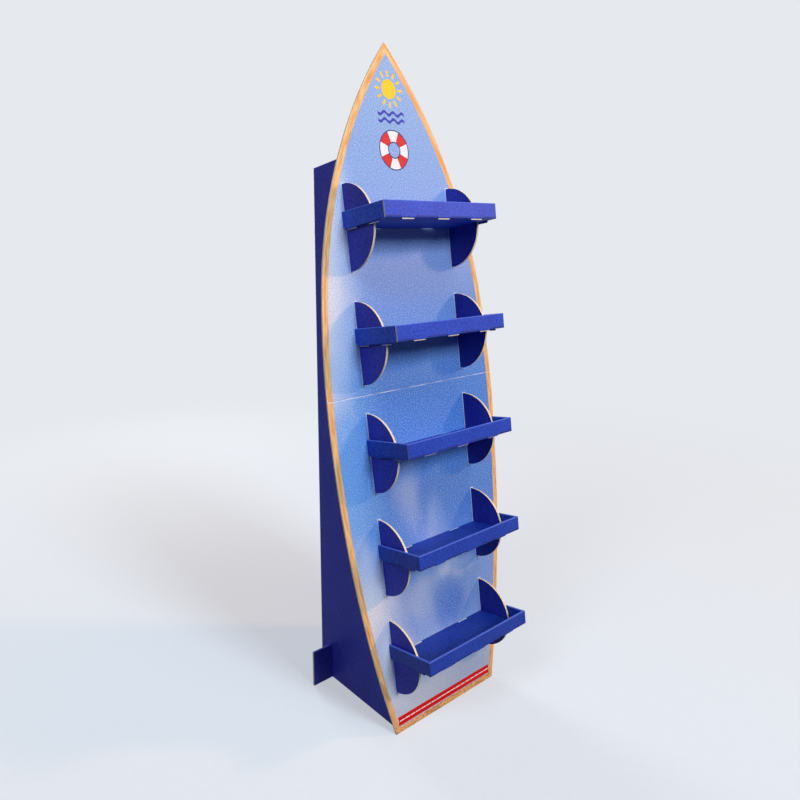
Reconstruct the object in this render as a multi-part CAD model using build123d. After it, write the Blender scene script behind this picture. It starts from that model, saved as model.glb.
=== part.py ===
"""Cardboard floor display: a leaning pointed front panel, five shelf trays and a folded back frame.

The panel, the trays and the frame's lobes are drawn upright, in the panel's own frame: X across,
Y from the panel's front face to the back, Z up the panel from its foot. They are then leaned back.
The frame's wings and back and the brace are drawn as they stand on the floor.
"""
import os

from build123d import *

# Board thicknesses, millimetres
PANEL_BOARD = 4.0
FRAME_BOARD = 5.0
TRAY_BOARD = 3.0

# Room beside a board in a slot that takes it
SLOT_CLEARANCE = 0.4

# Front panel, heights measured up its slope
LEAN = 10.0
PANEL_LENGTH = 1600.0
FOOT_WIDTH = 350.0
BELLY_WIDTH = 531.0
BELLY_HEIGHT = 766.0
SHOULDER_INSET = 20.0
SHOULDER_HEIGHT = 1060.0
CREASE_HEIGHT = 834.0
CREASE_WIDTH = 3.0
CREASE_DEPTH = 0.8

# Shelves, by the underside of each tray, measured up the panel
SHELF_COUNT = 5
LOWEST_SHELF = 200.0
SHELF_PITCH = 250.0

# Back frame: a U of back and wings, with half-round lobes on the wings' front edges
FRAME_WIDTH = 321.0
FRAME_DEPTH = 333.0
FRAME_HEIGHT = 1345.0
FOLD_RADIUS = 7.0
LOBE_RADIUS = 92.5
LOBE_LAP = 46.0

# Cross brace, on edge across both wings
BRACE_LENGTH = 444.0
BRACE_HEIGHT = 103.0
BRACE_SETBACK = 52.0

# Trays
TRAY_DEPTH = 140.0
TRAY_HEIGHT = 34.5
SIDE_DROP = 4.0
LOBE_TO_WALL = 2.5
TOP_FOLD_RADIUS = 1.6
BOTTOM_FOLD_RADIUS = 2.0
CORNER_SLIT = 0.6
WALL_CHAMFER = 7.0
TONGUE_WIDTH = 128.0
TONGUE_REACH = 12.0
BACK_GAP_WIDTH = 35.0
BACK_GAP_DEPTH = 5.0

# Locking tabs on the lower edge of a tray's inner walls
FRONT_TAB_DROP = 2.5
FRONT_TAB_WIDTH = 34.0
FRONT_TAB_PITCH = 104.0
SIDE_TAB_DROP = 5.0
SIDE_TAB_WIDTH = 32.0
SIDE_TAB_PLACES = (25.0, 100.0)

# Places that follow from the sizes above
WING_MIDDLE = (FRAME_WIDTH - FRAME_BOARD) / 2
WING_INSIDE = FRAME_WIDTH / 2 - FRAME_BOARD
DOUBLE_WALL = 2 * TRAY_BOARD
TRAY_INSIDE = FRAME_WIDTH / 2 + LOBE_TO_WALL
TRAY_OUTSIDE = TRAY_INSIDE + DOUBLE_WALL
BRACE_FRONT = FRAME_DEPTH - BRACE_SETBACK
SHELF_LEVELS = [LOWEST_SHELF + SHELF_PITCH * number for number in range(SHELF_COUNT)]
BIG = 4 * PANEL_LENGTH

lean_back = Rot(X=-LEAN)


def block(x, y, z):
    """A box between two values along each axis."""
    size = [high - low for low, high in (x, y, z)]
    middle = [(high + low) / 2 for low, high in (x, y, z)]
    return Pos(*middle) * Box(*size)


def floor_slot(level):
    """Height of a slot that a tray's floor rests in."""
    return (level, level + TRAY_BOARD + SLOT_CLEARANCE)


def panel_outline():
    """The panel's face: arcs from the foot out to the belly, over the shoulder and up to the point."""
    foot = (FOOT_WIDTH / 2, 0)
    belly = (BELLY_WIDTH / 2, BELLY_HEIGHT)
    shoulder = (BELLY_WIDTH / 2 - SHOULDER_INSET, SHOULDER_HEIGHT)
    flank = TangentArc(belly, foot, tangent=(0, -1))
    upper = TangentArc(belly, shoulder, tangent=(0, 1))
    nose = TangentArc(shoulder, (0, PANEL_LENGTH), tangent=upper % 1)
    right_side = Curve() + [flank, upper, nose]
    base = Line((-FOOT_WIDTH / 2, 0), foot)
    return make_face(right_side + mirror(right_side, about=Plane.YZ) + base)


def front_panel():
    panel = extrude(Plane.XZ * panel_outline(), -PANEL_BOARD)
    through = (-PANEL_BOARD, 2 * PANEL_BOARD)
    slot_half = FRAME_BOARD / 2 + SLOT_CLEARANCE
    lobe_half = LOBE_RADIUS + SLOT_CLEARANCE
    tongue_half = TONGUE_WIDTH / 2 + SLOT_CLEARANCE
    for level in SHELF_LEVELS:
        lobe_reach = (level - lobe_half, level + lobe_half)
        for middle in (-WING_MIDDLE, WING_MIDDLE):
            panel -= block((middle - slot_half, middle + slot_half), through, lobe_reach)
        panel -= block((-tongue_half, tongue_half), through, floor_slot(level))
    crease = Polyline(
        (0, CREASE_HEIGHT - CREASE_WIDTH / 2),
        (CREASE_DEPTH, CREASE_HEIGHT),
        (0, CREASE_HEIGHT + CREASE_WIDTH / 2),
        close=True,
    )
    panel -= extrude(Plane.YZ * make_face(crease), BELLY_WIDTH, both=True)
    floor = block((-BIG, BIG), (-BIG, BIG), (-BIG, 0))
    return lean_back * panel - floor


def lobe(level):
    """A half-round lobe in the plane x = 0, with the slit that takes a tray's floor."""
    disc = Pos(0, level) * Circle(LOBE_RADIUS)
    front_half = Pos(-LOBE_RADIUS, level) * Rectangle(2 * LOBE_RADIUS, 2 * LOBE_RADIUS)
    neck = Pos(PANEL_BOARD / 2, level) * Rectangle(PANEL_BOARD, 2 * LOBE_RADIUS)
    profile = (disc & front_half) + neck
    solid = extrude(Plane.YZ * profile, FRAME_BOARD / 2, both=True)
    slit_end = SLOT_CLEARANCE - LOBE_LAP
    return solid - block((-FRAME_BOARD, FRAME_BOARD), (-2 * LOBE_RADIUS, slit_end), floor_slot(level))


def back_frame():
    plan = Pos(0, FRAME_DEPTH / 2) * Rectangle(FRAME_WIDTH, FRAME_DEPTH)
    plan = fillet(plan.vertices().group_by(Axis.Y)[-1], FOLD_RADIUS)
    hollow = Pos(0, FRAME_DEPTH / 2 - FRAME_BOARD) * Rectangle(2 * WING_INSIDE, FRAME_DEPTH)
    hollow = fillet(hollow.vertices().group_by(Axis.Y)[-1], FOLD_RADIUS - FRAME_BOARD)
    frame = extrude(plan - hollow, FRAME_HEIGHT + FRAME_DEPTH)
    before_panel = block((-BIG, BIG), (-BIG, PANEL_BOARD), (-BIG, BIG))
    above_top = block((-BIG, BIG), (-BIG, BIG), (FRAME_HEIGHT, BIG))
    frame -= lean_back * before_panel
    frame -= lean_back * above_top
    slot_y = (BRACE_FRONT - SLOT_CLEARANCE, BRACE_FRONT + FRAME_BOARD + SLOT_CLEARANCE)
    frame -= block((-FRAME_WIDTH, FRAME_WIDTH), slot_y, (-FRAME_BOARD, BRACE_HEIGHT / 2))
    for level in SHELF_LEVELS:
        for middle in (-WING_MIDDLE, WING_MIDDLE):
            frame += lean_back * (Pos(X=middle) * lobe(level))
    return frame


def cross_brace():
    reach = (-BRACE_LENGTH / 2, BRACE_LENGTH / 2)
    brace = block(reach, (BRACE_FRONT, BRACE_FRONT + FRAME_BOARD), (0, BRACE_HEIGHT))
    slot_half = FRAME_BOARD / 2 + SLOT_CLEARANCE
    upper_half = (BRACE_HEIGHT / 2, 2 * BRACE_HEIGHT)
    for middle in (-WING_MIDDLE, WING_MIDDLE):
        brace -= block((middle - slot_half, middle + slot_half), (0, 2 * FRAME_DEPTH), upper_half)
    return brace


def side_wall():
    """The left wall, from the panel to just behind the front wall's outer sheet, deeper at the panel."""
    length = TRAY_DEPTH - TRAY_BOARD - CORNER_SLIT
    side = Polyline((0, TRAY_HEIGHT), (-length, TRAY_HEIGHT), (-length, 0), (0, -SIDE_DROP), close=True)
    side = make_face(side)
    side = chamfer(side.vertices().sort_by(Axis.Y)[0], WALL_CHAMFER)
    wall = extrude(Plane.YZ * side, DOUBLE_WALL)
    wall = fillet(wall.edges().filter_by(Axis.Y).group_by(Axis.Z)[-1], TOP_FOLD_RADIUS)
    wall = fillet(wall.edges().group_by(Axis.X)[0].sort_by(Axis.Z)[0], BOTTOM_FOLD_RADIUS)
    wall -= block((TRAY_BOARD, 2 * DOUBLE_WALL), (-2 * length, length), (-2 * SIDE_DROP, 0))
    for place in SIDE_TAB_PLACES:
        reach = (-place - SIDE_TAB_WIDTH / 2, -place + SIDE_TAB_WIDTH / 2)
        wall += block((TRAY_BOARD, DOUBLE_WALL), reach, (-SIDE_TAB_DROP, TRAY_BOARD))
    return Pos(X=-TRAY_OUTSIDE) * wall


def front_wall():
    """The double front wall, rolled over at the top and creased below."""
    section = Pos(DOUBLE_WALL / 2 - TRAY_DEPTH, TRAY_HEIGHT / 2) * Rectangle(DOUBLE_WALL, TRAY_HEIGHT)
    section = fillet(section.vertices().group_by(Axis.Y)[-1], TOP_FOLD_RADIUS)
    section = fillet(section.vertices().group_by(Axis.Y)[0].sort_by(Axis.X)[0], BOTTOM_FOLD_RADIUS)
    wall = extrude(Plane.YZ * section, TRAY_OUTSIDE, both=True)
    inner_sheet = (TRAY_BOARD - TRAY_DEPTH, DOUBLE_WALL - TRAY_DEPTH)
    beside_wall = (TRAY_INSIDE - CORNER_SLIT, 2 * TRAY_OUTSIDE)
    corner = block(beside_wall, inner_sheet, (TRAY_BOARD, 2 * TRAY_HEIGHT))
    wall -= corner
    wall -= mirror(corner, about=Plane.YZ)
    for place in (-FRONT_TAB_PITCH, 0, FRONT_TAB_PITCH):
        reach = (place - FRONT_TAB_WIDTH / 2, place + FRONT_TAB_WIDTH / 2)
        wall += block(reach, inner_sheet, (-FRONT_TAB_DROP, TRAY_BOARD))
    return wall


def tray_floor():
    """The floor, slotted over the lobes, with a tongue for the panel's slot and a gap beside it."""
    fold_line = TRAY_OUTSIDE - BOTTOM_FOLD_RADIUS
    floor = block((-fold_line, fold_line), (BOTTOM_FOLD_RADIUS - TRAY_DEPTH, 0), (0, TRAY_BOARD))
    slot_inside = WING_INSIDE - SLOT_CLEARANCE
    through = (-TRAY_BOARD, 2 * TRAY_BOARD)
    lobe_slot = block((slot_inside, 2 * TRAY_OUTSIDE), (-LOBE_LAP, TRAY_DEPTH), through)
    beside_tongue = (TONGUE_WIDTH / 2, TONGUE_WIDTH / 2 + BACK_GAP_WIDTH)
    back_gap = block(beside_tongue, (-BACK_GAP_DEPTH, TRAY_DEPTH), through)
    for cut in (lobe_slot, back_gap):
        floor -= cut
        floor -= mirror(cut, about=Plane.YZ)
    tongue = (-TONGUE_WIDTH / 2, TONGUE_WIDTH / 2)
    return floor + block(tongue, (-BACK_GAP_DEPTH, PANEL_BOARD + TONGUE_REACH), (0, TRAY_BOARD))


def shelf_tray():
    left_wall = side_wall()
    return tray_floor() + front_wall() + left_wall + mirror(left_wall, about=Plane.YZ)


def stand():
    """Every node by name, with the origin on the floor under the middle of the whole stand."""
    nodes = {"front_panel": front_panel(), "back_frame": back_frame(), "cross_brace": cross_brace()}
    tray = shelf_tray()
    for number, level in enumerate(SHELF_LEVELS, start=1):
        nodes[f"shelf_tray_{number}"] = lean_back * (Pos(Z=level) * tray)
    box = Compound(children=[node.solid() for node in nodes.values()]).bounding_box()
    to_origin = Pos(-box.center().X, -box.center().Y, -box.min.Z)
    return {name: to_origin * node for name, node in nodes.items()}


os.makedirs("parts", exist_ok=True)
for name, node in stand().items():
    export_step(node.solid(), f"parts/{name}.step")
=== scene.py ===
import math
from functools import partial

import bpy
from mathutils import Matrix, Vector


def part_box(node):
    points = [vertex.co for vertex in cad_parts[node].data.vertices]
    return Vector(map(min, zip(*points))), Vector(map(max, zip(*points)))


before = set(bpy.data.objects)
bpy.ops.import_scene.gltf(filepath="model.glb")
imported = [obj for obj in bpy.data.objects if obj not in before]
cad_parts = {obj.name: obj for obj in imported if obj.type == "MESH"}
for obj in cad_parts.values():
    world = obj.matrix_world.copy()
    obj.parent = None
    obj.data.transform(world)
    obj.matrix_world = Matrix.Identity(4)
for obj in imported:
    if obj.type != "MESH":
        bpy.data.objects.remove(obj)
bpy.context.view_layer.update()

# The leaning panel's own axes, from the middle of its foot: across, to the back, and up its slope
LEAN = math.radians(10)
PANEL_FOOT = Vector((0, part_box("front_panel")[0].y, 0))

# Boards and flutes, millimetres
PANEL_BOARD = 4.0
FRAME_BOARD = 5.0
TRAY_BOARD = 3.0
C_FLUTE = 7.9
B_FLUTE = 6.4

# Pieces that the prints and the raw edges are set out from, millimetres
PANEL_LENGTH = 1600.0
CREASE_HEIGHT = 834.0
WING_OUTSIDE = 160.5
WING_MIDDLE = 158.0
LOBE_RADIUS = 92.5
SHELVES = 5
LOWEST_SHELF = 200.0
SHELF_PITCH = 250.0
TRAY_FRONT = -140.0
CUT_ENDS_FROM = -50.0
SIDE_DROP = 4.0
FRONT_TAB_WIDTH = 34.0
FRONT_TAB_PITCH = 104.0

# The frame's back and the brace lie past this along the floor, and the brace stays below this, metres
REAR_FROM = 0.15
BRACE_BELOW = 0.15

# The panel's side: three arcs, each with the middle and the radius of its circle, and where it starts
FLANK_ARC = ((-3021.5, 766.0), 3287.0)
UPPER_ARC = ((-1905.4, 766.0), 2170.9)
NOSE_ARC = ((-779.2, 919.9), 1034.3)
BELLY_HEIGHT = 766.0
SHOULDER_HEIGHT = 1060.0

# Layout of the panel's print, millimetres
BORDER_WIDTH = 15.5
STRIP_LOW = 17.5
STRIP_HIGH = 41.0
STRIP_HALF = 165.0
DASH_PITCH = 18.0
DASH_GAP = 2.4
DASH_HEIGHT = 3.0
SUN_PLACE = (0.0, 1502.0)
SUN_RADIUS = 21.0
SUN_RAYS = 12
RAY_MIDDLE = 33.0
RAY_LENGTH = 13.0
RAY_WIDTH = 5.2
WAVE_HEIGHTS = (1450.0, 1435.0)
WAVE_LENGTH = 26.0
WAVE_HALF_RUN = 39.0
WAVE_SWELL = 3.5
WAVE_WIDTH = 6.4
BUOY_PLACE = (0.0, 1372.0)
BUOY_RADIUS = 30.0
BUOY_WIDTH = 23.0
BUOY_OUTLINE = 2.5

# White rims of the die-cut slots, millimetres: around a lobe, and behind the floor of a tray
RIM_ASIDE = 3.0
RIM_ABOVE = 2.4
GAP_MIDDLE = 81.5
GAP_WIDTH = 36.0
GAP_HEIGHT = 1.8

# Painted light on a tray's walls, millimetres up from its underside: a highlight on the rolled top, where
# the ink is also worn thin, and a shaded line above the lower fold
ROLLED_TOP = (32.0, 34.2)
SHADE_LINE_HEIGHT = 3.2
SHADE_LINE_WIDTH = 2.4
SHADE_LINE_OFF_TAB = 3.0

# Sky colours by share of the panel's length, and clouds and a clear patch by middle, reach across and up,
# thickness and colour
# the middle stops are partly painted shade, deepened a little for the trays' shade on the panel
SKY_STOPS = ((0.04, "#B0B9D4"), (0.2, "#7797D5"), (0.34, "#4F81D0"), (0.5, "#427FD4"),
             (0.6, "#648DD1"), (0.72, "#88A1DC"), (0.85, "#88A9DE"), (0.97, "#93B1DE"))
CLOUD_WHITE = "#E1E1ED"
CLOUDS = (
    # the clouds along the left edge are partly painted light: made brighter, the warm ones warmer, to lift
    # the bluish shade the lobes cast there
    ((-225, 1230), (105, 190), 0.95, "#ECE5EC"),
    ((-255, 1060), (145, 280), 1.0, "#E8E3EC"),
    ((-260, 830), (95, 120), 0.55, CLOUD_WHITE),
    ((-205, 340), (115, 190), 1.0, "#ECE4EA"),
    ((-160, 170), (80, 170), 0.95, "#ECE4EA"),
    ((-60, 590), (60, 130), 0.32, CLOUD_WHITE),
    ((5, 490), (60, 80), 0.25, CLOUD_WHITE),
    ((-65, 320), (90, 110), 0.35, CLOUD_WHITE),
    ((50, 375), (120, 60), 0.45, CLOUD_WHITE),
    ((48, 262), (85, 110), 0.75, "#2A6AC6"),
    ((-110, 75), (200, 130), 0.8, "#D6D7E2"),
)

# Floor and backdrop, as the camera sees them far off
BACKDROP = "#E6E9EE"


def linear(colour):
    """An sRGB hex colour as linear RGBA."""
    channels = [int(colour[place:place + 2], 16) / 255 for place in (1, 3, 5)]
    return [c / 12.92 if c <= 0.04045 else ((c + 0.055) / 1.055) ** 2.4 for c in channels] + [1]


def put(tree, kind, sockets=None, output=0, **settings):
    """Adds a node, sets it up, fills or links its sockets, and gives back one of its outputs.

    Sockets go by name or number. A MapRange has its value in 0, the range it comes from in 1 and 2, and the
    range it goes to in 3 and 4. A Mix has its share in 0, and numbers in 2 and 3 or colours in 6 and 7.
    """
    node = tree.nodes.new("ShaderNode" + kind)
    for name, value in settings.items():
        setattr(node, name, value)
    for key, value in (sockets or {}).items():
        if isinstance(value, bpy.types.NodeSocket):
            tree.links.new(value, node.inputs[key])
        else:
            node.inputs[key].default_value = value
    return node.outputs[output] if node.outputs else node


def new_material(name):
    """An empty material, and the function that adds nodes to it."""
    material = bpy.data.materials.new(name)
    material.use_nodes = True
    material.node_tree.nodes.clear()
    return material, partial(put, material.node_tree)


def panel_axes(add):
    """Millimetres across the panel, behind its front face and up its slope, as one place and in parts."""
    here = add("TexCoord", output="Object")
    turned = {"Vector": here, "Location": PANEL_FOOT, "Rotation": (-LEAN, 0, 0), "Scale": (0.001,) * 3}
    there = add("Mapping", turned, vector_type="TEXTURE")
    return there, add("SeparateXYZ", {0: there}).node.outputs


def panel_facing(add):
    """The face's own normal along the panel's axes."""
    normal = add("NewGeometry", output="True Normal")
    turned = add("Mapping", {"Vector": normal, "Rotation": (-LEAN, 0, 0)}, vector_type="TEXTURE")
    return add("SeparateXYZ", {0: turned}).node.outputs


def shelf_rise(add, up):
    """Millimetres above the nearest shelf, or below it where negative."""
    above = add("Math", {0: up, 1: LOWEST_SHELF - SHELF_PITCH / 2}, operation="SUBTRACT")
    rise = add("Math", {0: above, 1: SHELF_PITCH}, operation="FLOORED_MODULO")
    return add("Math", {0: rise, 1: SHELF_PITCH / 2}, operation="SUBTRACT")


def near_shelves(add, up, count):
    """1 within half a pitch of the lowest shelves, as many as the count says."""
    middle = LOWEST_SHELF + SHELF_PITCH * (count - 1) / 2
    return add("Math", {0: up, 1: middle, 2: SHELF_PITCH * count / 2}, operation="COMPARE")


def around(add, across, up, middle):
    """Millimetres out from a point of the panel, and the angle around it."""
    aside = add("Math", {0: across, 1: middle[0]}, operation="SUBTRACT")
    above = add("Math", {0: up, 1: middle[1]}, operation="SUBTRACT")
    spoke = add("CombineXYZ", {0: aside, 1: above})
    reach = add("VectorMath", {0: spoke}, output="Value", operation="LENGTH")
    return reach, add("Math", {0: aside, 1: above}, operation="ARCTAN2")


def ripple(add, along, length):
    """A sine along a run, by its wavelength; both are millimetres."""
    turn = add("Math", {0: along, 1: 2 * math.pi / length}, operation="MULTIPLY")
    return add("Math", {0: turn}, operation="SINE")


def seen_directly(add):
    """1 for what the eye meets, also in a sheen or through glass, and 0 for light on its way round."""
    path = add("LightPath").node.outputs
    seen = add("Math", {0: path["Is Camera Ray"], 1: path["Is Glossy Ray"]}, operation="MAXIMUM")
    return add("Math", {0: seen, 1: path["Is Transmission Ray"]}, operation="MAXIMUM")


def cut_edge(add, depth, board, along, flute):
    """Colour of a die-cut edge: two kraft liners, the wavy middle sheet and painted shade in the hollows
    between.

    depth is how far in from one face of the board; all lengths are millimetres.
    """
    through = add("Math", {0: depth, 1: board}, operation="DIVIDE")
    wave = ripple(add, along, flute)
    middle = add("Math", {0: wave, 1: 0.33, 2: 0.5}, operation="MULTIPLY_ADD")
    sheet = add("Math", {0: through, 1: middle, 2: 0.17}, operation="COMPARE")
    inside = add("Math", {0: through, 1: 0.5, 2: 0.34}, operation="COMPARE")
    liner = add("Math", {0: 1.0, 1: inside}, operation="SUBTRACT")
    paper = add("Math", {0: sheet, 1: liner}, operation="MAXIMUM")
    # painted shade: the open hollows between the papers take the duller colour
    return add("Mix", {0: paper, 6: linear("#E2C490"), 7: linear("#FCECC8")}, output=2, data_type="RGBA")


def uneven_ink(add, place, full, thin):
    """Ink from full to thin by the paper's tooth and a slow mottle, and the tooth itself.

    The tooth is drawn at 5 mm, coarser than real, so that it shows; the mottle is 60 mm wide.
    """
    tooth = add("TexNoise", {"Vector": place, "Scale": 1 / 5, "Detail": 3.0})
    mottle = add("TexNoise", {"Vector": place, "Scale": 1 / 60, "Detail": 2.0})
    shade = add("Math", {0: mottle, 1: 0.3, 2: tooth}, operation="MULTIPLY_ADD")
    shade = add("MapRange", {0: shade, 1: 0.4, 2: 0.9})
    ink = {0: shade, 6: linear(full), 7: linear(thin)}
    return add("Mix", ink, output=2, data_type="RGBA"), tooth


def finish_board(add, colour, roughness, height, depth):
    """Shader of a printed board, with its bump from a height whose full swing is depth, in metres."""
    bump = add("Bump", {"Height": height, "Strength": 1.0, "Distance": depth})
    surface = {"Base Color": colour, "Roughness": roughness, "Normal": bump}
    surface.update({"IOR": 1.45, "Specular IOR Level": 0.3})
    add("OutputMaterial", {"Surface": add("BsdfPrincipled", surface)})


def border_distance(add, across, up):
    """Millimetres in from the panel's edge, by the arc that bounds each height, and up from its foot."""
    side = add("Math", {0: across}, operation="ABSOLUTE")
    place = add("CombineXYZ", {0: side, 1: up})
    inward = []
    for middle, radius in (FLANK_ARC, UPPER_ARC, NOSE_ARC):
        out = add("VectorMath", {0: place, 1: (*middle, 0)}, output="Value", operation="DISTANCE")
        inward.append(add("Math", {0: radius, 1: out}, operation="SUBTRACT"))
    above_belly = add("Math", {0: up, 1: BELLY_HEIGHT}, operation="GREATER_THAN")
    above_shoulder = add("Math", {0: up, 1: SHOULDER_HEIGHT}, operation="GREATER_THAN")
    lower = add("Mix", {0: above_belly, 2: inward[0], 3: inward[1]})
    edge = add("Mix", {0: above_shoulder, 2: lower, 3: inward[2]})
    return add("Math", {0: edge, 1: up}, operation="MINIMUM")


def sky_print(add, across, up):
    """Sky colours up the panel, brighter toward its left edge, under soft clouds whose edges drift."""
    height = add("Math", {0: up, 1: PANEL_LENGTH}, operation="DIVIDE")
    sky = add("ValToRGB", {0: height})
    ramp = sky.node.color_ramp
    ramp.interpolation = "EASE"
    for number, (place, colour) in enumerate(SKY_STOPS):
        stop = ramp.elements[number] if number < 2 else ramp.elements.new(place)
        stop.position = place
        stop.color = linear(colour)
    leftward = {0: across, 1: -90.0, 2: -250.0, 3: 0.0, 4: 0.6}
    leftward = add("MapRange", leftward, interpolation_type="SMOOTHSTEP")
    sky = add("Mix", {0: leftward, 6: sky, 7: linear("#84BCF8")}, output=2, data_type="RGBA")

    # edges drift by up to 30 mm across and 70 mm up, in billows of 70 by 160 mm
    spot = add("CombineXYZ", {0: across, 1: up})
    drift_size = add("VectorMath", {0: spot, 1: (1 / 70, 1 / 160, 0)}, operation="MULTIPLY")
    drift = add("TexNoise", {"Vector": drift_size, "Scale": 1.0, "Detail": 2.0}, output="Color")
    drift = add("VectorMath", {0: drift, 1: (0.5, 0.5, 0.5)}, operation="SUBTRACT")
    drift = add("VectorMath", {0: drift, 1: (60, 140, 0)}, operation="MULTIPLY")
    moved = add("VectorMath", {0: spot, 1: drift}, operation="ADD")
    for middle, (wide, tall), thickness, colour in CLOUDS:
        away = add("VectorMath", {0: moved, 1: (*middle, 0)}, operation="SUBTRACT")
        share = add("VectorMath", {0: away, 1: (1 / wide, 1 / tall, 0)}, operation="MULTIPLY")
        reach = add("VectorMath", {0: share}, output="Value", operation="LENGTH")
        fade = {0: reach, 1: 1.0, 2: 0.1, 3: 0.0, 4: thickness}
        veil = add("MapRange", fade, interpolation_type="SMOOTHSTEP")
        sky = add("Mix", {0: veil, 6: sky, 7: linear(colour)}, output=2, data_type="RGBA")
    return sky


def ink_specks(add, place, sky):
    """Ink that took unevenly, in specks of bare paper and of full ink: 3 mm, coarser than real, to show."""
    speck_size = add("VectorMath", {0: place, 1: (1 / 3, 0, 1 / 3)}, operation="MULTIPLY")
    speck = add("TexNoise", {"Vector": speck_size, "Scale": 1.0, "Detail": 2.0})
    thin = add("MapRange", {0: speck, 1: 0.5, 2: 0.7, 3: 0.0, 4: 0.42})
    full = add("MapRange", {0: speck, 1: 0.5, 2: 0.3, 3: 0.0, 4: 0.42})
    sky = add("Mix", {0: thin, 6: sky, 7: linear("#DCE2F0")}, output=2, data_type="RGBA")
    return add("Mix", {0: full, 6: sky, 7: linear("#3C66B8")}, output=2, data_type="RGBA")


def wood_print(add, across, inward, up):
    """Printed plank border: grain along the edge, browner low down, with open pores across the foot."""
    run = add("Math", {0: across, 1: 0.8, 2: up}, operation="MULTIPLY_ADD")
    place = add("CombineXYZ", {0: inward, 1: run})
    # grain lines 5 by 60 mm, and browner stretches 35 by 75 mm
    grain_size = add("VectorMath", {0: place, 1: (1 / 5, 1 / 60, 0)}, operation="MULTIPLY")
    grain = add("TexNoise", {"Vector": grain_size, "Scale": 1.0, "Detail": 3.0})
    light = add("MapRange", {0: grain, 1: 0.35, 2: 0.65})
    plank = {0: light, 6: linear("#E69A52"), 7: linear("#FFCC92")}
    plank = add("Mix", plank, output=2, data_type="RGBA")
    stretch_size = add("VectorMath", {0: place, 1: (1 / 35, 1 / 75, 0)}, operation="MULTIPLY")
    stretch = add("TexNoise", {"Vector": stretch_size, "Scale": 1.0, "Detail": 2.0})
    most = add("MapRange", {0: up, 1: 450.0, 2: 250.0, 3: 0.1, 4: 0.6})
    brown = {0: stretch, 1: 0.5, 2: 0.72, 3: 0.0, 4: most}
    brown = add("MapRange", brown, interpolation_type="SMOOTHSTEP")
    plank = add("Mix", {0: brown, 6: plank, 7: linear("#9C5828")}, output=2, data_type="RGBA")

    # pores 4 by 7 mm, along the foot only
    pore_size = add("VectorMath", {0: place, 1: (1 / 4, 1 / 7, 0)}, operation="MULTIPLY")
    pore = add("TexNoise", {"Vector": pore_size, "Scale": 1.0, "Detail": 2.0})
    at_foot = add("MapRange", {0: up, 1: 60.0, 2: 25.0, 3: 0.0, 4: 0.9})
    pore = add("MapRange", {0: pore, 1: 0.48, 2: 0.7, 3: 0.0, 4: at_foot})
    plank = add("Mix", {0: pore, 6: plank, 7: linear("#A4561C")}, output=2, data_type="RGBA")

    # ink chipped to the paper here and there along the cut, in chips about 9 mm long
    at_edge = add("Math", {0: inward, 1: 2.2}, operation="LESS_THAN")
    chip_size = add("Math", {0: run, 1: 1 / 9}, operation="MULTIPLY")
    chip = add("TexNoise", {"W": chip_size, "Scale": 1.0, "Detail": 2.0}, noise_dimensions="1D")
    chip = add("MapRange", {0: chip, 1: 0.67, 2: 0.73})
    chip = add("Math", {0: chip, 1: at_edge}, operation="MULTIPLY")
    return add("Mix", {0: chip, 6: plank, 7: linear("#F6E4C2")}, output=2, data_type="RGBA")


def foot_strip(add, across, up, art):
    """A red strip at the foot with a row of plain white dashes."""
    middle = (STRIP_LOW + STRIP_HIGH) / 2
    strip_rise = add("Math", {0: up, 1: middle, 2: STRIP_HIGH - middle}, operation="COMPARE")
    strip_run = add("Math", {0: across, 1: 0.0, 2: STRIP_HALF}, operation="COMPARE")
    strip = add("Math", {0: strip_rise, 1: strip_run}, operation="MULTIPLY")
    art = add("Mix", {0: strip, 6: art, 7: linear("#DE060F")}, output=2, data_type="RGBA")
    dash_step = add("Math", {0: across, 1: DASH_PITCH / 2}, operation="PINGPONG")
    dash_run = add("Math", {0: dash_step, 1: DASH_GAP / 2}, operation="GREATER_THAN")
    dash_rise = add("Math", {0: up, 1: middle, 2: DASH_HEIGHT / 2}, operation="COMPARE")
    dash = add("Math", {0: dash_run, 1: dash_rise}, operation="MULTIPLY")
    dash = add("Math", {0: dash, 1: strip}, operation="MULTIPLY")
    return add("Mix", {0: dash, 6: art, 7: linear("#F4EFEA")}, output=2, data_type="RGBA")


def sun_and_waves(add, across, up, art):
    """A plain sun with its rays over two wavy lines."""
    reach, angle = around(add, across, up, SUN_PLACE)
    off_ray = add("Math", {0: angle, 1: math.pi / SUN_RAYS}, operation="PINGPONG")
    off_ray = add("Math", {0: off_ray, 1: reach}, operation="MULTIPLY")
    ray = add("Math", {0: off_ray, 1: RAY_WIDTH / 2}, operation="LESS_THAN")
    ring = add("Math", {0: reach, 1: RAY_MIDDLE, 2: RAY_LENGTH / 2}, operation="COMPARE")
    ray = add("Math", {0: ray, 1: ring}, operation="MULTIPLY")
    disc = add("Math", {0: reach, 1: SUN_RADIUS}, operation="LESS_THAN")
    sun = add("Math", {0: ray, 1: disc}, operation="MAXIMUM")
    art = add("Mix", {0: sun, 6: art, 7: linear("#F8CC2E")}, output=2, data_type="RGBA")
    swell = ripple(add, across, WAVE_LENGTH)
    run = add("Math", {0: across, 1: 0.0, 2: WAVE_HALF_RUN}, operation="COMPARE")
    for height in WAVE_HEIGHTS:
        crest = add("Math", {0: swell, 1: WAVE_SWELL, 2: height}, operation="MULTIPLY_ADD")
        wave = add("Math", {0: up, 1: crest, 2: WAVE_WIDTH / 2}, operation="COMPARE")
        wave = add("Math", {0: wave, 1: run}, operation="MULTIPLY")
        art = add("Mix", {0: wave, 6: art, 7: linear("#2F37A8")}, output=2, data_type="RGBA")
    return art


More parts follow.
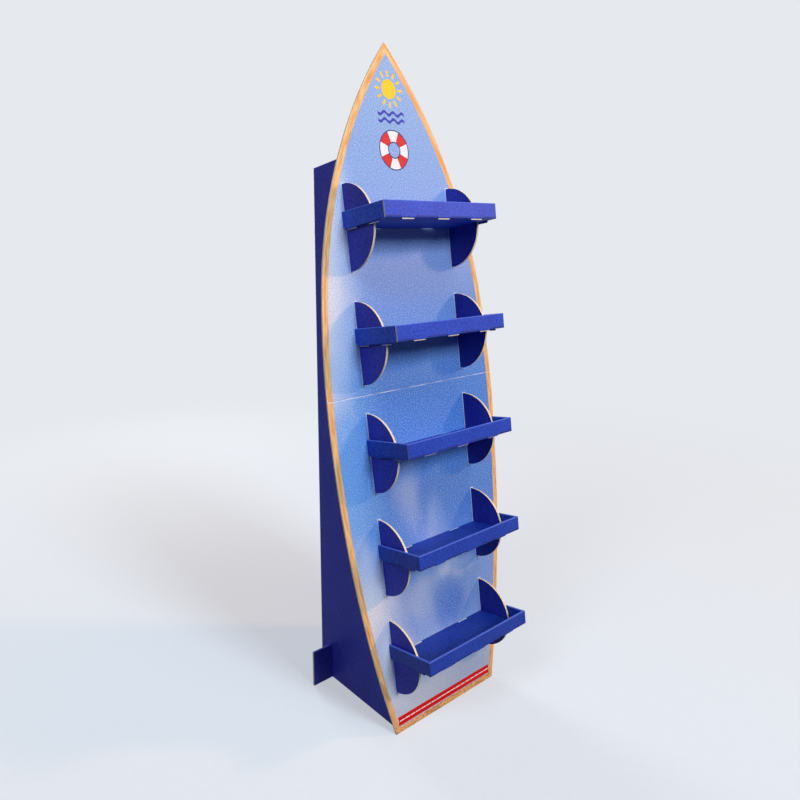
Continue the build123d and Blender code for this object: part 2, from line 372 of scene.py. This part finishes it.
def life_buoy(add, across, up, art):
    """A ring in four red and four white parts, outlined in navy."""
    reach, angle = around(add, across, up, BUOY_PLACE)
    part = add("Math", {0: angle, 1: math.pi / 4}, operation="PINGPONG")
    red = add("Math", {0: part, 1: math.pi / 8}, operation="GREATER_THAN")
    outlined = {0: reach, 1: BUOY_RADIUS, 2: BUOY_WIDTH / 2 + BUOY_OUTLINE}
    outline = add("Math", outlined, operation="COMPARE")
    ring = add("Math", {0: reach, 1: BUOY_RADIUS, 2: BUOY_WIDTH / 2}, operation="COMPARE")
    paint = {0: red, 6: linear("#F3EEF0"), 7: linear("#D92630")}
    paint = add("Mix", paint, output=2, data_type="RGBA")
    art = add("Mix", {0: outline, 6: art, 7: linear("#27295F")}, output=2, data_type="RGBA")
    return add("Mix", {0: ring, 6: art, 7: paint}, output=2, data_type="RGBA")


def scored_line(add, place, up, art):
    """A score across the panel, its ink cracked to the white liner in patches of 25 by 4 mm."""
    crack_size = add("VectorMath", {0: place, 1: (1 / 25, 0, 1 / 4)}, operation="MULTIPLY")
    crack = add("TexNoise", {"Vector": crack_size, "Scale": 1.0, "Detail": 4.0})
    crack_share = add("MapRange", {0: crack, 1: 0.35, 2: 0.65, 3: 0.1, 4: 0.8})
    off_score = add("Math", {0: up, 1: CREASE_HEIGHT}, operation="SUBTRACT")
    off_score = add("Math", {0: off_score}, operation="ABSOLUTE")
    score = add("MapRange", {0: off_score, 1: 1.7, 2: 0.4})
    score = add("Math", {0: score, 1: crack_share}, operation="MULTIPLY")
    return add("Mix", {0: score, 6: art, 7: linear("#EDEBF2")}, output=2, data_type="RGBA")


def slot_rims(add, across, up, art):
    """Die-cut slots: a bare white rim around each lobe, and the slot's edge behind all but the top tray."""
    side = add("Math", {0: across}, operation="ABSOLUTE")
    rise = shelf_rise(add, up)
    rim_run = add("Math", {0: side, 1: WING_MIDDLE, 2: FRAME_BOARD / 2 + RIM_ASIDE}, operation="COMPARE")
    rim_rise = add("Math", {0: rise, 1: 0.0, 2: LOBE_RADIUS + RIM_ABOVE}, operation="COMPARE")
    rim = add("Math", {0: rim_run, 1: rim_rise}, operation="MULTIPLY")
    rim = add("Math", {0: rim, 1: near_shelves(add, up, SHELVES)}, operation="MULTIPLY")
    rim = add("Math", {0: rim, 1: 0.8}, operation="MULTIPLY")
    gap_run = add("Math", {0: side, 1: GAP_MIDDLE, 2: GAP_WIDTH / 2}, operation="COMPARE")
    gap_rise = add("Math", {0: rise, 1: GAP_HEIGHT / 2, 2: GAP_HEIGHT / 2}, operation="COMPARE")
    gap = add("Math", {0: gap_run, 1: gap_rise}, operation="MULTIPLY")
    gap = add("Math", {0: gap, 1: near_shelves(add, up, SHELVES - 1)}, operation="MULTIPLY")
    art = add("Mix", {0: rim, 6: art, 7: linear("#CADCF6")}, output=2, data_type="RGBA")
    return add("Mix", {0: gap, 6: art, 7: linear("#FAFAFC")}, output=2, data_type="RGBA")


def printed_panel():
    """Litho print on white-lined corrugated board: matt inks, a scored line gone white, kraft edges."""
    material, add = new_material("litho_printed_corrugated_board")
    place, (across, behind, up) = panel_axes(add)
    facing = panel_facing(add)
    inward = border_distance(add, across, up)
    field = add("Math", {0: inward, 1: BORDER_WIDTH}, operation="GREATER_THAN")
    wood = wood_print(add, across, inward, up)
    sky = ink_specks(add, place, sky_print(add, across, up))
    art = add("Mix", {0: field, 6: wood, 7: sky}, output=2, data_type="RGBA")
    art = foot_strip(add, across, up, art)
    art = sun_and_waves(add, across, up, art)
    art = life_buoy(add, across, up, art)
    art = scored_line(add, place, up, art)
    art = slot_rims(add, across, up, art)

    # back liner unprinted, with flecks of fibre 6 by 30 mm, and cut edges raw
    front = add("Math", {0: facing[1], 1: -0.5}, operation="LESS_THAN")
    back = add("Math", {0: facing[1], 1: 0.5}, operation="GREATER_THAN")
    raw = cut_edge(add, behind, PANEL_BOARD, across, C_FLUTE)
    fibre_size = add("VectorMath", {0: place, 1: (1 / 6, 1, 1 / 30)}, operation="MULTIPLY")
    fibre = add("TexNoise", {"Vector": fibre_size, "Scale": 1.0, "Detail": 5.0})
    kraft = {0: fibre, 6: linear("#B08A5E"), 7: linear("#CBA878")}
    kraft = add("Mix", kraft, output=2, data_type="RGBA")
    colour = add("Mix", {0: front, 6: raw, 7: art}, output=2, data_type="RGBA")
    colour = add("Mix", {0: back, 6: colour, 7: kraft}, output=2, data_type="RGBA")

    # liners show the upright flutes below as a faint washboard
    washboard = ripple(add, across, C_FLUTE)
    matt = add("MapRange", {0: fibre, 3: 0.5, 4: 0.62})
    finish_board(add, colour, matt, washboard, 0.00002)
    return material


def frame_board():
    """Board flood-printed navy on both sides: satin ink with a paper tooth, kraft where it is cut."""
    material, add = new_material("navy_printed_corrugated_board")
    place, (across, behind, up) = panel_axes(add)
    side = add("Math", {0: across}, operation="ABSOLUTE")
    normal = add("SeparateXYZ", {0: add("NewGeometry", output="True Normal")}).node.outputs
    sideways = add("Math", {0: normal[0]}, operation="ABSOLUTE")
    lengthways = add("Math", {0: normal[1]}, operation="ABSOLUTE")
    floor_place = add("SeparateXYZ", {0: add("TexCoord", output="Object")}).node.outputs

    # inked: the faces of the wings and lobes, of the back and of the brace, and the brace's upper edge
    on_wing = add("Math", {0: sideways, 1: 0.5}, operation="GREATER_THAN")
    within = add("Math", {0: side, 1: WING_OUTSIDE + 1}, operation="LESS_THAN")
    on_wing = add("Math", {0: on_wing, 1: within}, operation="MULTIPLY")
    deep = add("Math", {0: floor_place[1], 1: REAR_FROM}, operation="GREATER_THAN")
    on_back = add("Math", {0: lengthways, 1: 0.5}, operation="GREATER_THAN")
    on_back = add("Math", {0: deep, 1: on_back}, operation="MULTIPLY")
    low = add("Math", {0: floor_place[2], 1: BRACE_BELOW}, operation="LESS_THAN")
    upward = add("Math", {0: normal[2], 1: 0.9}, operation="GREATER_THAN")
    on_brace_top = add("Math", {0: low, 1: upward}, operation="MULTIPLY")
    liner = add("Math", {0: on_wing, 1: on_back}, operation="MAXIMUM")
    liner = add("Math", {0: liner, 1: on_brace_top}, operation="MAXIMUM")
    ink, tooth = uneven_ink(add, place, "#13188A", "#3D44B4")

    # ink cracked to brown along the two upright folds at the back, in breaks about 6 mm long
    backward = add("Math", {0: normal[1], 1: 0.4}, operation="GREATER_THAN")
    on_fold = add("Math", {0: sideways, 1: 0.4}, operation="GREATER_THAN")
    on_fold = add("Math", {0: backward, 1: on_fold}, operation="MULTIPLY")
    broken_size = add("VectorMath", {0: place, 1: (0, 0, 1 / 6)}, operation="MULTIPLY")
    broken = add("TexNoise", {"Vector": broken_size, "Scale": 1.0, "Detail": 4.0})
    broken = add("MapRange", {0: broken, 1: 0.45, 2: 0.6, 3: 0.0, 4: 0.6})
    crack = add("Math", {0: on_fold, 1: broken}, operation="MULTIPLY")
    ink = add("Mix", {0: crack, 6: ink, 7: linear("#8A5F58")}, output=2, data_type="RGBA")

    depth = add("Math", {0: side, 1: WING_OUTSIDE - FRAME_BOARD}, operation="SUBTRACT")
    raw = cut_edge(add, depth, FRAME_BOARD, behind, C_FLUTE)
    colour = add("Mix", {0: liner, 6: raw, 7: ink}, output=2, data_type="RGBA")
    washboard = ripple(add, behind, C_FLUTE)
    relief = add("Math", {0: tooth, 1: 1.5, 2: washboard}, operation="MULTIPLY_ADD")
    satin = add("MapRange", {0: tooth, 3: 0.5, 4: 0.65})
    finish_board(add, colour, satin, relief, 0.00002)
    return material


def tray_board():
    """Thinner board printed royal blue and varnished: painted highlights and shade on the folds, kraft at
    cut ends and locking tabs.
    """
    material, add = new_material("blue_printed_corrugated_board")
    place, (across, behind, up) = panel_axes(add)
    rise = shelf_rise(add, up)
    facing = panel_facing(add)
    forward = add("Math", {0: facing[1], 1: -0.9}, operation="LESS_THAN")
    backward = add("Math", {0: facing[1], 1: 0.6}, operation="GREATER_THAN")
    sideways = add("Math", {0: facing[0]}, operation="ABSOLUTE")
    sideways = add("Math", {0: sideways, 1: 0.9}, operation="GREATER_THAN")
    downward = add("Math", {0: facing[2], 1: -0.9}, operation="LESS_THAN")

    # painted light falloff: each tray's ink a little paler than that of the tray below it, for light that
    # weakens toward the foot
    ink, tooth = uneven_ink(add, place, "#0A2894", "#2C52C4")
    painted_falloff = add("MapRange", {0: up, 1: 300.0, 2: 1200.0, 3: 0.74, 4: 1.18})
    ink = add("HueSaturation", {"Value": painted_falloff, "Color": ink})

    # painted highlight over the rolled top, where the ink is also stretched thin and pale, and a painted
    # shaded line above the lower fold
    fold_highlight_and_thinning = {0: rise, 1: ROLLED_TOP[0], 2: ROLLED_TOP[1], 3: 0.0, 4: 0.45}
    fold_highlight_and_thinning = add("MapRange", fold_highlight_and_thinning, interpolation_type="SMOOTHSTEP")
    ink = add("Mix", {0: fold_highlight_and_thinning, 6: ink, 7: linear("#6F8CF6")}, output=2, data_type="RGBA")
    off_tab = add("Math", {0: across, 1: FRONT_TAB_PITCH / 2}, operation="PINGPONG")
    between = add("Math", {0: off_tab, 1: FRONT_TAB_WIDTH / 2 + SHADE_LINE_OFF_TAB}, operation="GREATER_THAN")
    fold_shade_line = add("Math", {0: rise, 1: SHADE_LINE_HEIGHT, 2: SHADE_LINE_WIDTH / 2}, operation="COMPARE")
    fold_shade_line = add("Math", {0: fold_shade_line, 1: between}, operation="MULTIPLY")
    fold_shade_line = add("Math", {0: fold_shade_line, 1: forward}, operation="MULTIPLY")
    fold_shade_line = add("Math", {0: fold_shade_line, 1: 0.8}, operation="MULTIPLY")
    ink = add("Mix", {0: fold_shade_line, 6: ink, 7: linear("#161D66")}, output=2, data_type="RGBA")

    # raw board: ends of the front wall, and tabs, showing more up the stand and none on the two lowest trays
    at_front = add("Math", {0: behind, 1: TRAY_FRONT + TRAY_BOARD + 0.1}, operation="LESS_THAN")
    front_end = add("Math", {0: sideways, 1: at_front}, operation="MULTIPLY")
    below = add("Math", {0: rise, 1: -0.05}, operation="LESS_THAN")
    tab_face = add("Math", {0: forward, 1: downward}, operation="MAXIMUM")
    tab = add("Math", {0: below, 1: tab_face}, operation="MULTIPLY")
    tab = add("Math", {0: tab, 1: at_front}, operation="MULTIPLY")
    bare = add("Math", {0: front_end, 1: tab}, operation="MAXIMUM")
    lowest = add("Math", {0: rise, 1: -SIDE_DROP}, operation="LESS_THAN")
    side_tab = add("Math", {0: lowest, 1: sideways}, operation="MULTIPLY")
    bare = add("Math", {0: bare, 1: side_tab}, operation="MAXIMUM")
    raw_share_up = add("MapRange", {0: up, 1: 560.0, 2: 1100.0, 3: 0.0, 4: 0.9})
    bare = add("Math", {0: bare, 1: raw_share_up}, operation="MULTIPLY")

    # raw board on every tray: the ends of the side walls and of the floor, toward the panel
    at_back = add("Math", {0: behind, 1: CUT_ENDS_FROM}, operation="GREATER_THAN")
    back_end = add("Math", {0: backward, 1: at_back}, operation="MULTIPLY")
    bare = add("Math", {0: bare, 1: back_end}, operation="MAXIMUM")
    depth = add("Math", {0: behind, 1: TRAY_FRONT}, operation="SUBTRACT")
    raw = cut_edge(add, depth, TRAY_BOARD, rise, B_FLUTE)
    colour = add("Mix", {0: bare, 6: ink, 7: raw}, output=2, data_type="RGBA")
    satin = add("MapRange", {0: tooth, 3: 0.45, 4: 0.58})
    finish_board(add, colour, satin, tooth, 0.00004)
    return material


def matt_floor():
    """Pale painted floor: even to the eye, with the stand's soft shadow, and dim to light it throws back."""
    material, add = new_material("pale_painted_studio_floor")
    here = add("TexCoord", output="Object")
    grain = add("TexNoise", {"Vector": here, "Scale": 60.0, "Detail": 3.0})
    pale = {0: grain, 6: linear("#E2E5EA"), 7: linear("#EAECF0")}
    pale = add("Mix", pale, output=2, data_type="RGBA")
    lit = add("BsdfDiffuse", {"Color": pale, "Roughness": 0.6})
    even = add("Emission", {"Color": linear(BACKDROP), "Strength": 1.0})

    # half lit and half even near the stand, and all even from 3.5 m off
    away = add("VectorMath", {0: here}, output="Value", operation="LENGTH")
    far = add("MapRange", {0: away, 1: 0.6, 2: 3.5, 3: 0.5, 4: 1.0}, interpolation_type="SMOOTHSTEP")
    shown = add("MixShader", {0: far, 1: lit, 2: even})
    dim = add("BsdfDiffuse", {"Color": linear("#3C4450")})
    add("OutputMaterial", {"Surface": add("MixShader", {0: seen_directly(add), 1: dim, 2: shown})})
    return material


def dress(node, material):
    """Puts one material on every slot of a CAD node."""
    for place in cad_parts[node].material_slots:
        place.material = material


def studio_floor():
    """A plain floor, wide enough to end out of sight."""
    bpy.ops.object.select_all(action="DESELECT")
    bpy.ops.mesh.primitive_plane_add(size=40, location=(0, 0, 0))
    floor = bpy.context.object
    floor.name = "studio_floor"
    floor.data.materials.append(matt_floor())


def softbox(name, place, aim, size, power, colour="#FFFFFF"):
    """A square area lamp at a place, turned to a point."""
    lamp = bpy.data.lights.new(name, "AREA")
    lamp.size = size
    lamp.energy = power
    lamp.color = linear(colour)[:3]
    holder = bpy.data.objects.new(name, lamp)
    holder.location = place
    holder.rotation_euler = (Vector(aim) - Vector(place)).to_track_quat("-Z", "Y").to_euler()
    bpy.context.collection.objects.link(holder)


def studio_light():
    """Soft lamps all round, cool in front and warm at the right, with a dim world and a pale backdrop."""
    waist = (0, 0, 0.7)
    softbox("front_softbox", (0.1, -4.6, 3.4), waist, 1.3, 192, "#D7EEFF")
    softbox("right_softbox", (3.9, -3.0, 3.2), waist, 0.5, 132, "#FFC484")
    softbox("left_softbox", (-3.8, -0.9, 4.2), waist, 1.5, 80, "#E2EEFF")
    softbox("top_softbox", (0.4, -2.4, 4.8), waist, 1.5, 34)
    softbox("back_softbox", (0.3, 3.4, 1.6), (0, 0, 0.8), 1.2, 85)
    world = bpy.data.worlds.new("studio")
    bpy.context.scene.world = world
    world.use_nodes = True
    world.node_tree.nodes.clear()
    add = partial(put, world.node_tree)
    ambient = add("Background", {"Color": linear("#D5DEF2"), "Strength": 0.09})
    backdrop = add("Background", {"Color": linear(BACKDROP), "Strength": 1.0})
    add("OutputWorld", {"Surface": add("MixShader", {0: seen_directly(add), 1: ambient, 2: backdrop})})


def photo_camera():
    """The camera of the photograph, fitted to the stand's own corners."""
    turn = Matrix.Rotation(math.radians(-41.297), 4, "Z")
    tilt = Matrix.Rotation(math.radians(90 - 17.224), 4, "X")
    roll = Matrix.Rotation(math.radians(0.784), 4, "Z")
    lens = bpy.data.cameras.new("photo_camera")
    lens.sensor_width = 36
    lens.lens = 30.877
    lens.shift_x = 0.0129
    lens.shift_y = 0.0394
    camera = bpy.data.objects.new("photo_camera", lens)
    camera.matrix_world = Matrix.Translation((-1.1063, -1.1337, 1.2027)) @ turn @ tilt @ roll
    bpy.context.collection.objects.link(camera)
    bpy.context.scene.camera = camera


dress("front_panel", printed_panel())
navy = frame_board()
dress("back_frame", navy)
dress("cross_brace", navy)
blue = tray_board()
for number in range(1, SHELVES + 1):
    dress(f"shelf_tray_{number}", blue)

studio_floor()
studio_light()
photo_camera()
bpy.context.scene.view_settings.view_transform = "Standard"
